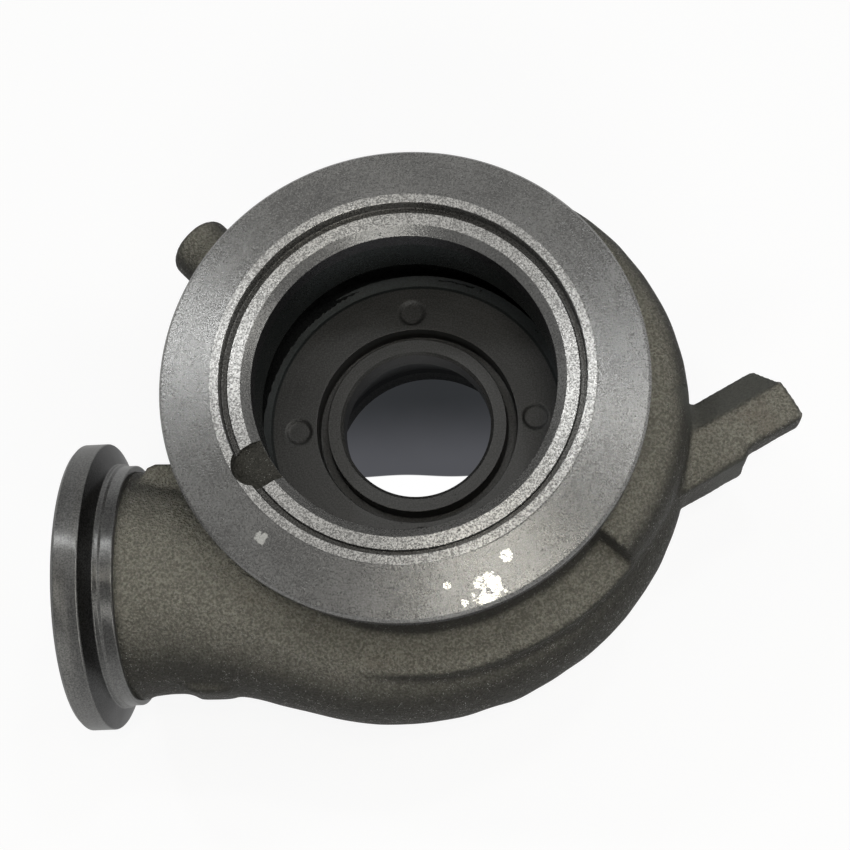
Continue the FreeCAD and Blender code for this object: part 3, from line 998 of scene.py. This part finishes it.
@dataclass
class CastSkin:
    """The casting's skin: the solid's surface, evened, filleted, a little wavy, sunk under turned faces."""

    flange: BearingFlange
    outlet: CavityAndOutlet
    inlet: InletFlange
    passage: GasPassage
    lug: Lug
    # The even surface and how it is thinned out
    cell: float = 0.92
    weld_gap: float = 0.001
    triangle_limit: int = 190000
    thinning_bias: float = 100.0
    # Evening, fillets and the crisp root of the lands
    fillet_passes: int = 14
    evening_passes: int = 2
    blur_passes: int = 2
    flat_bend: float = 0.01
    root_keep: float = 0.85
    root_radii: tuple[float, float, float, float] = (50.0, 51.0, 60.0, 61.5)
    root_heights: tuple[float, float, float, float] = (58.0, 59.5, 70.0, 73.0)
    # How deep the skin sinks under the turned pieces, and where that starts beside their faces
    sink: float = 1.6
    sink_ramp: float = 0.9
    rim_margins: tuple[float, float] = (1.5, 2.5)
    rim_drop: float = 1.7
    throat_drop: float = 0.6
    pilot_wall: float = 2.4
    floor_margin: float = 0.6
    floor_rise: tuple[float, float] = (0.8, 1.6)
    duct_wall: float = 2.0
    duct_drop: float = 4.0
    foot_height: float = 6.6
    collar_lap: float = 0.2
    mouth_wall: float = 2.0
    # How far the skin stays below the faces over it and above the ground
    notch_gap: float = 0.5
    ring_gap: float = 1.2
    ring_margin: float = 1.0
    groove_margin: float = 0.4
    groove_gap: float = 1.0
    ground_gap: float = 0.3
    # The waves
    wave_height: float = 0.11
    wave_count: int = 28
    wave_shortest: float = 7.0
    wave_longest: float = 26.0
    # Where the painted shade deep inside and in hollows, worn edges, covered parts and the painted side shade
    # start and end
    throat_reach: float = 42.5
    deep_shade_fade: tuple[float, float] = (1.4, 2.4)
    edge_bend: tuple[float, float] = (0.035, 0.16)
    hollow_fill: tuple[float, float] = (0.15, 1.1)
    covered_share: float = 0.98
    lining_start: float = 30.0
    side_shade_slope: float = 0.50
    top_light_slope: float = 0.985
    seed: int = 7

    def even_surface(self) -> bpy.types.Object:
        """Rebuilds a merged copy of the solid's surface on an even grid of cells."""
        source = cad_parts[NODE]
        copy = bpy.data.objects.new("cast_skin", source.data.copy())
        bpy.context.scene.collection.objects.link(copy)
        copy.data.materials.clear()
        weld = copy.modifiers.new("weld", "WELD")
        weld.merge_threshold = self.weld_gap * MM
        cells = copy.modifiers.new("cells", "REMESH")
        cells.mode = "VOXEL"
        cells.voxel_size = self.cell * MM
        graph = bpy.context.evaluated_depsgraph_get()
        mesh = bpy.data.meshes.new_from_object(copy.evaluated_get(graph))
        copy.modifiers.clear()
        copy.data = mesh
        return copy

    @staticmethod
    def links(mesh: bpy.types.Mesh) -> tuple[np.ndarray, np.ndarray, np.ndarray]:
        """Both ends of every edge, each way round, and the number of neighbours of each corner."""
        flat = np.empty(len(mesh.edges) * 2, dtype=np.int32)
        mesh.edges.foreach_get("vertices", flat)
        ends = flat.reshape(-1, 2)
        here = np.concatenate([ends[:, 0], ends[:, 1]])
        there = np.concatenate([ends[:, 1], ends[:, 0]])
        return here, there, np.bincount(here, minlength=len(mesh.vertices)).astype(np.float64)

    @staticmethod
    def normals(mesh: bpy.types.Mesh, points: np.ndarray) -> np.ndarray:
        """Outward unit normals at the corners, for positions that the mesh doesn't hold yet."""
        flat = np.empty(len(mesh.loops), dtype=np.int32)
        mesh.loops.foreach_get("vertex_index", flat)
        quads = flat.reshape(-1, 4)
        first, second, third, fourth = (points[quads[:, k]] for k in range(4))
        across = np.repeat(np.cross(third - first, fourth - second), 4, axis=0)
        sums = np.stack([np.bincount(quads.ravel(), across[:, k], len(points)) for k in range(3)], 1)
        return sums / np.maximum(np.linalg.norm(sums, axis=1, keepdims=True), 1e-12)

    @staticmethod
    def neighbour_mean(values: np.ndarray, links: tuple[np.ndarray, np.ndarray, np.ndarray]) -> np.ndarray:
        """Mean of a value over each corner's neighbours."""
        here, there, count = links
        if values.ndim == 1:
            return np.bincount(here, values[there], len(count)) / count
        sums = [np.bincount(here, values[there, k], len(count)) / count for k in range(values.shape[1])]
        return np.stack(sums, 1)

    def up_to(self, values: np.ndarray, start: float) -> np.ndarray:
        """1 up to a start, 0 from the sinking's ramp past it on."""
        return 1.0 - ramp(values, start, start + self.sink_ramp)

    def within_rim(self, distance: np.ndarray, rim: float) -> np.ndarray:
        """1 up to just outside a flange's rim, 0 further out."""
        near, far = self.rim_margins
        return 1.0 - ramp(distance, rim + near, rim + far)

    def turned_share(self, points: np.ndarray) -> np.ndarray:
        """How far each point lies within a turned region, from 0 outside to 1 well inside."""
        radius = np.hypot(points[:, 0], points[:, 1])
        height = points[:, 2]
        flange, outlet, inlet = self.flange, self.outlet, self.inlet
        neck_top = flange.rim_bottom() - self.rim_drop
        rim = ramp(height, neck_top - self.sink_ramp, neck_top)
        rim *= self.within_rim(radius, flange.rim_radius)
        bore = ramp(height, flange.throat_top - self.throat_drop, flange.throat_top)
        bore *= self.up_to(radius, flange.pilot_radius + self.pilot_wall)
        cavity = self.up_to(radius, outlet.floor_radius + self.floor_margin)
        low, high = self.floor_rise
        cavity *= 1.0 - ramp(height, outlet.floor + low, outlet.floor + high)
        duct_skin = (radius > outlet.duct_radius - self.duct_wall) & (height < outlet.floor - self.duct_drop)
        cavity = np.where(duct_skin, 0.0, cavity)
        foot = self.up_to(height, self.foot_height)
        foot *= self.within_rim(radius, outlet.flange_radius)
        across, along = inlet.axis().split(points)
        end = inlet.ring_end()
        collar = 1.0 - ramp(along, end - self.collar_lap, end + self.sink_ramp)
        collar *= self.within_rim(across, inlet.radius)
        mouth = 1.0 - ramp(along, inlet.bore_depth - self.sink_ramp, inlet.bore_depth)
        collar = np.where(across < inlet.bore_radius + self.mouth_wall, np.minimum(collar, mouth), collar)
        return np.maximum.reduce([rim, bore, cavity, foot, collar])

    def lower_under_faces(self, points: np.ndarray) -> None:
        """Presses the skin under the flange's face, the shroud ring and its groove, and above the ground."""
        radius = np.hypot(points[:, 0], points[:, 1])
        outlet = self.outlet
        points[:, 2] = np.minimum(points[:, 2], self.flange.notch_floor - self.notch_gap)
        near_floor = radius < outlet.groove_outer + self.ring_margin
        near_floor &= points[:, 2] < outlet.floor + self.ring_margin
        points[near_floor, 2] = np.minimum(points[near_floor, 2], outlet.floor - self.ring_gap)
        in_groove = near_floor & (radius > outlet.ring_outer - self.groove_margin)
        in_groove &= radius < outlet.groove_outer + self.groove_margin
        points[in_groove, 2] = np.minimum(points[in_groove, 2], outlet.groove_bottom - self.groove_gap)
        points[:, 2] = np.maximum(points[:, 2], self.ground_gap)

    def land_root(self, points: np.ndarray) -> np.ndarray:
        """1 at the crisp corner where the scroll's lands meet the flange's neck, 0 elsewhere."""
        radius = np.hypot(points[:, 0], points[:, 1])
        height = points[:, 2]
        in_start, in_end, out_start, out_end = self.root_radii
        inside = ramp(radius, in_start, in_end) * (1.0 - ramp(radius, out_start, out_end))
        low_start, low_end, high_start, high_end = self.root_heights
        return inside * ramp(height, low_start, low_end) * (1.0 - ramp(height, high_start, high_end))

    def thin_hidden(self, piece: bpy.types.Object, hidden: np.ndarray) -> None:
        """Thins the skin out where other pieces cover it and along the unseen lining, down to the limit.

        Args:
            piece: The skin.
            hidden: True at each corner that may be thinned.
        """
        group = piece.vertex_groups.new(name="hidden")
        group.add(np.flatnonzero(hidden).tolist(), 1.0, "REPLACE")
        thin = piece.modifiers.new("thin", "DECIMATE")
        thin.ratio = self.triangle_limit / (2.0 * len(piece.data.polygons))
        thin.vertex_group = group.name
        thin.vertex_group_factor = self.thinning_bias
        graph = bpy.context.evaluated_depsgraph_get()
        mesh = bpy.data.meshes.new_from_object(piece.evaluated_get(graph))
        piece.modifiers.clear()
        piece.vertex_groups.clear()
        piece.data = mesh

    def waves(self, points: np.ndarray) -> np.ndarray:
        """Sum of plane sine waves of many lengths in random directions, scaled to about one."""
        random = np.random.default_rng(self.seed)
        total = np.zeros(len(points))
        for length in np.geomspace(self.wave_shortest, self.wave_longest, self.wave_count):
            heading = random.normal(size=3)
            heading *= 2.0 * math.pi / length / np.linalg.norm(heading)
            total += np.sin(points @ heading + random.uniform(0.0, 2.0 * math.pi))
        return total / math.sqrt(self.wave_count)

    def build(self, cast: bpy.types.Material) -> bpy.types.Object:
        """Makes the skin.

        A few passes move every corner half way to its neighbours' mean, which evens the cells out. Further
        passes let a corner slide along the surface and move outwards only, which fills concave joins into
        fillets and leaves convex edges alone. The offset from the mean then gives the edge share for the
        finish, and the outward moves added up give the hollow share.

        Args:
            cast: Finish of the skin.

        Returns:
            The finished piece.
        """
        piece = self.even_surface()
        mesh = piece.data
        links = self.links(mesh)
        points = read_points(mesh)
        for _ in range(self.evening_passes):
            points += 0.5 * (self.neighbour_mean(points, links) - points)
        fillets = np.zeros(len(points))
        bare = (1.0 - self.turned_share(points)) * (1.0 - self.root_keep * self.land_root(points))
        for _ in range(self.fillet_passes):
            normal = self.normals(mesh, points)
            move = self.neighbour_mean(points, links) - points
            out = (move * normal).sum(axis=1)
            slide = move - normal * out[:, None]
            rise = np.maximum(out - self.flat_bend, 0.0) * bare
            fillets += 0.5 * rise
            points += 0.5 * (slide + normal * rise[:, None])
        normal = self.normals(mesh, points)
        bend = -((self.neighbour_mean(points, links) - points) * normal).sum(axis=1)
        for _ in range(self.blur_passes):
            bend = self.neighbour_mean(bend, links)
            fillets = self.neighbour_mean(fillets, links)
        covered = self.turned_share(points)
        points += normal * (self.wave_height * self.waves(points) * (1.0 - covered))[:, None]
        points -= normal * (self.sink * covered)[:, None]
        self.lower_under_faces(points)
        points = np.clip(points, *(np.array(corner) / MM for corner in CAD_BOUNDS))
        height = points[:, 2]
        throat = np.hypot(points[:, 0], points[:, 1]) < self.throat_reach
        throat &= (height > self.outlet.floor) & (height < self.flange.throat_top)
        deep = 1.0 - ramp(self.passage.gap(points), *self.deep_shade_fade)
        write_points(mesh, points)
        write_attribute(mesh, "edge", ramp(bend, *self.edge_bend))
        # The hollow share, for painted shade in the fillets
        write_attribute(mesh, "hollow", ramp(fillets, *self.hollow_fill))
        # Painted shade deep in the passages and the throat, where the deep share is 1
        write_attribute(mesh, "deep", np.where(throat, 1.0, deep))
        write_attribute(mesh, "smooth", self.lug.drafted(points))
        # The share facing up; the finish paints shade on the rest
        write_attribute(mesh, "top", ramp(normal[:, 2], self.side_shade_slope, self.top_light_slope))
        mesh.materials.append(cast)
        lining = (deep > 0.5) & ~throat & (points[:, 0] > self.inlet.x + self.lining_start)
        self.thin_hidden(piece, lining | (covered > self.covered_share))
        finish_piece(piece, sharp_angle=180.0)
        return piece


# Floor, lights and camera


COOL_WHITE: Colour = (0.97, 0.985, 1.0)
WARM_WHITE: Colour = (1.0, 0.985, 0.94)


@dataclass(frozen=True)
class Lamp:
    """A soft rectangular lamp, placed by how far it leans from straight above, in degrees."""

    name: str
    lean_x: float
    lean_y: float
    width: float
    depth: float
    level: float
    tint: Colour
    distance: float = 900.0

    def place(self, target: Vector) -> None:
        """Adds the lamp. Its level is the share of a full white that it gives a face turned to it."""
        slopes = [math.tan(math.radians(lean)) for lean in (self.lean_x, self.lean_y)]
        back = Vector((*slopes, 1.0)).normalized()
        data = bpy.data.lights.new(self.name, "AREA")
        data.shape = "RECTANGLE"
        data.size = self.width * MM
        data.size_y = self.depth * MM
        data.energy = self.level * (math.pi * self.distance * MM) ** 2
        data.color = self.tint
        lamp = bpy.data.objects.new(self.name, data)
        lamp.location = target + back * self.distance * MM
        lamp.rotation_mode = "QUATERNION"
        lamp.rotation_quaternion = back.to_track_quat("Z", "Y")
        bpy.context.scene.collection.objects.link(lamp)


@dataclass
class Studio:
    """Pale floor, soft lamps, the room's walls and ceiling, and the camera."""

    lamps: tuple[Lamp, ...] = (
        Lamp("far_left_lamp", -31.0, 24.5, 110.0, 90.0, 0.11, COOL_WHITE),
        Lamp("far_right_lamp", 15.0, 17.8, 90.0, 60.0, 0.085, COOL_WHITE),
        Lamp("right_lamp", 45.0, 5.0, 300.0, 300.0, 0.13, WARM_WHITE),
        Lamp("front_lamp", 5.0, -45.0, 400.0, 200.0, 0.19, WARM_WHITE),
        Lamp("overhead_lamp", -5.0, 17.5, 500.0, 500.0, 0.09, (1.0, 0.99, 0.96)),
        Lamp("near_lamp", 7.4, -7.5, 200.0, 80.0, 0.14, (1.0, 0.965, 0.87)),
    )
    walls: Colour = (0.34, 0.34, 0.34)
    ceiling: Colour = (0.13, 0.115, 0.104)
    fill: float = 0.035
    backdrop_top: float = 0.03
    walls_start: float = 0.09
    walls_end: float = 0.92
    ceiling_start: float = 0.985
    floor_white: float = 0.14
    floor_lift: float = 0.90
    floor_height: float = -0.05
    floor_reach: float = 4000.0
    shade_dark: Colour = (0.030, 0.032, 0.035)
    shade_light: Colour = (0.085, 0.087, 0.097)
    shade_edge: float = -2.6
    shade_edge_blur: float = 0.3
    shade_edge_wave: float = 0.3
    shade_edge_turns: float = 0.22
    shade_reach: float = 21.0
    shade_cloud: float = 14.0
    outlet_reach: float = 26.2
    outlet_blur: float = 0.1
    look_height: float = 63.0
    look_at: tuple[float, float] = (3.92, -6.63)
    camera_turn: float = 16.8
    camera_lean: float = 18.29
    camera_distance: float = 412.6
    camera_roll: float = 0.52
    lens: float = 72.1
    sensor: float = 36.0

    def floor(self) -> None:
        """A wide pale floor. Seen through the outlet most of it is painted grey, as the housing's own shade.
        """
        reach = self.floor_reach
        height = self.floor_height
        points = np.array([[-reach, -reach, height], [reach, -reach, height], [reach, reach, height],
                           [-reach, reach, height]])
        floor = add_piece("floor", points, np.array([[0, 1, 2, 3]]))
        tree = Tree(bpy.data.materials.new("pale_floor"))
        split = tree.node("ShaderNodeSeparateXYZ", {}, {0: tree.place()})
        x = split
        y = Value(tree, split.socket.node.outputs[1])
        radius = tree.vector("LENGTH", tree.place(), output="Value") / MM
        inside = 1.0 - radius.step(self.outlet_reach - self.outlet_blur, self.outlet_reach)
        edge = (y / MM) + tree.maths("SINE", x / MM * self.shade_edge_turns) * self.shade_edge_wave
        shaded = edge.step(self.shade_edge, self.shade_edge + self.shade_edge_blur)
        depth = (y / MM).step(0.0, self.shade_reach)
        cloud = tree.noise(self.shade_cloud, 2.0)
        # Painted shade, glowing grey, where the outlet shows the floor
        grey = tree.mix(depth + (cloud - 0.5) * 0.15, self.shade_light, self.shade_dark)
        under = tree.mix(shaded, (1.0, 1.0, 1.0), grey)
        seen = tree.seen()
        lift = tree.node("ShaderNodeEmission", {}, {0: (1.0, 1.0, 1.0, 1.0), 1: seen * self.floor_lift})
        pale = tree.node("ShaderNodeBsdfDiffuse", {}, {0: (self.floor_white,) * 3 + (1.0,)})
        paper = tree.node("ShaderNodeAddShader", {}, {0: pale, 1: lift})
        glow = tree.node("ShaderNodeEmission", {}, {0: under, 1: 1.0})
        share = inside * seen
        mixed = tree.node("ShaderNodeMixShader", {}, {0: share, 1: paper, 2: glow})
        tree.node("ShaderNodeOutputMaterial", {}, {0: mixed})
        floor.data.materials.append(tree.owner)

    def world(self) -> None:
        """Grey walls under a dark ceiling, seen as white at the horizon as a studio's curved backdrop is."""
        tree = Tree(bpy.data.worlds.new("sky"))
        direction = tree.node("ShaderNodeTexCoord", output="Generated")
        rise = tree.node("ShaderNodeSeparateXYZ", {}, {0: direction}, "Z")
        stops = ((self.backdrop_top, (1.0, 1.0, 1.0)), (self.walls_start, self.walls),
                 (self.walls_end, self.walls), (self.ceiling_start, self.ceiling))
        backdrop = tree.node("ShaderNodeValToRGB", {"stops": stops}, {0: rise})
        colour = tree.mix(tree.seen(), (self.fill,) * 3, backdrop)
        glow = tree.node("ShaderNodeBackground", {}, {"Color": colour})
        tree.node("ShaderNodeOutputWorld", {}, {"Surface": glow})
        bpy.context.scene.world = tree.owner

    def camera(self) -> None:
        """A long lens above and in front of the flange, as the photograph was taken."""
        centre = Vector((0.0, 0.0, self.look_height)) * MM
        turn, lean = math.radians(self.camera_turn), math.radians(self.camera_lean)
        back = Vector((math.sin(turn) * math.sin(lean), -math.cos(turn) * math.sin(lean), math.cos(lean)))
        place = centre + back * self.camera_distance * MM
        target = Vector((*self.look_at, self.look_height)) * MM
        data = bpy.data.cameras.new("camera")
        data.lens = self.lens
        data.sensor_width = self.sensor
        camera = bpy.data.objects.new("camera", data)
        camera.location = place
        camera.rotation_mode = "QUATERNION"
        forward = (target - place).normalized()
        right = forward.cross(Vector((0.0, 1.0, 0.0))).normalized()
        level = Matrix((right, right.cross(forward), -forward)).transposed().to_quaternion()
        camera.rotation_quaternion = level @ Quaternion((0.0, 0.0, 1.0), math.radians(self.camera_roll))
        bpy.context.scene.collection.objects.link(camera)
        bpy.context.scene.camera = camera

    def build(self) -> None:
        """Puts the whole studio up."""
        self.floor()
        self.world()
        for lamp in self.lamps:
            lamp.place(Vector((0.0, 0.0, self.look_height)) * MM)
        self.camera()
        bpy.context.scene.view_settings.view_transform = "Standard"


def main() -> None:
    """Builds every piece in order."""
    logging.basicConfig(level=logging.INFO)
    Studio().build()
    cast = CastFinish().material()
    flange = BearingFlange()
    outlet = CavityAndOutlet()
    inlet = InletFlange()
    flange.build(cast)
    outlet.build()
    inlet.build()
    CastSkin(flange, outlet, inlet, GasPassage(inlet), Lug()).build(cast)


if __name__ == "__main__":
    main()
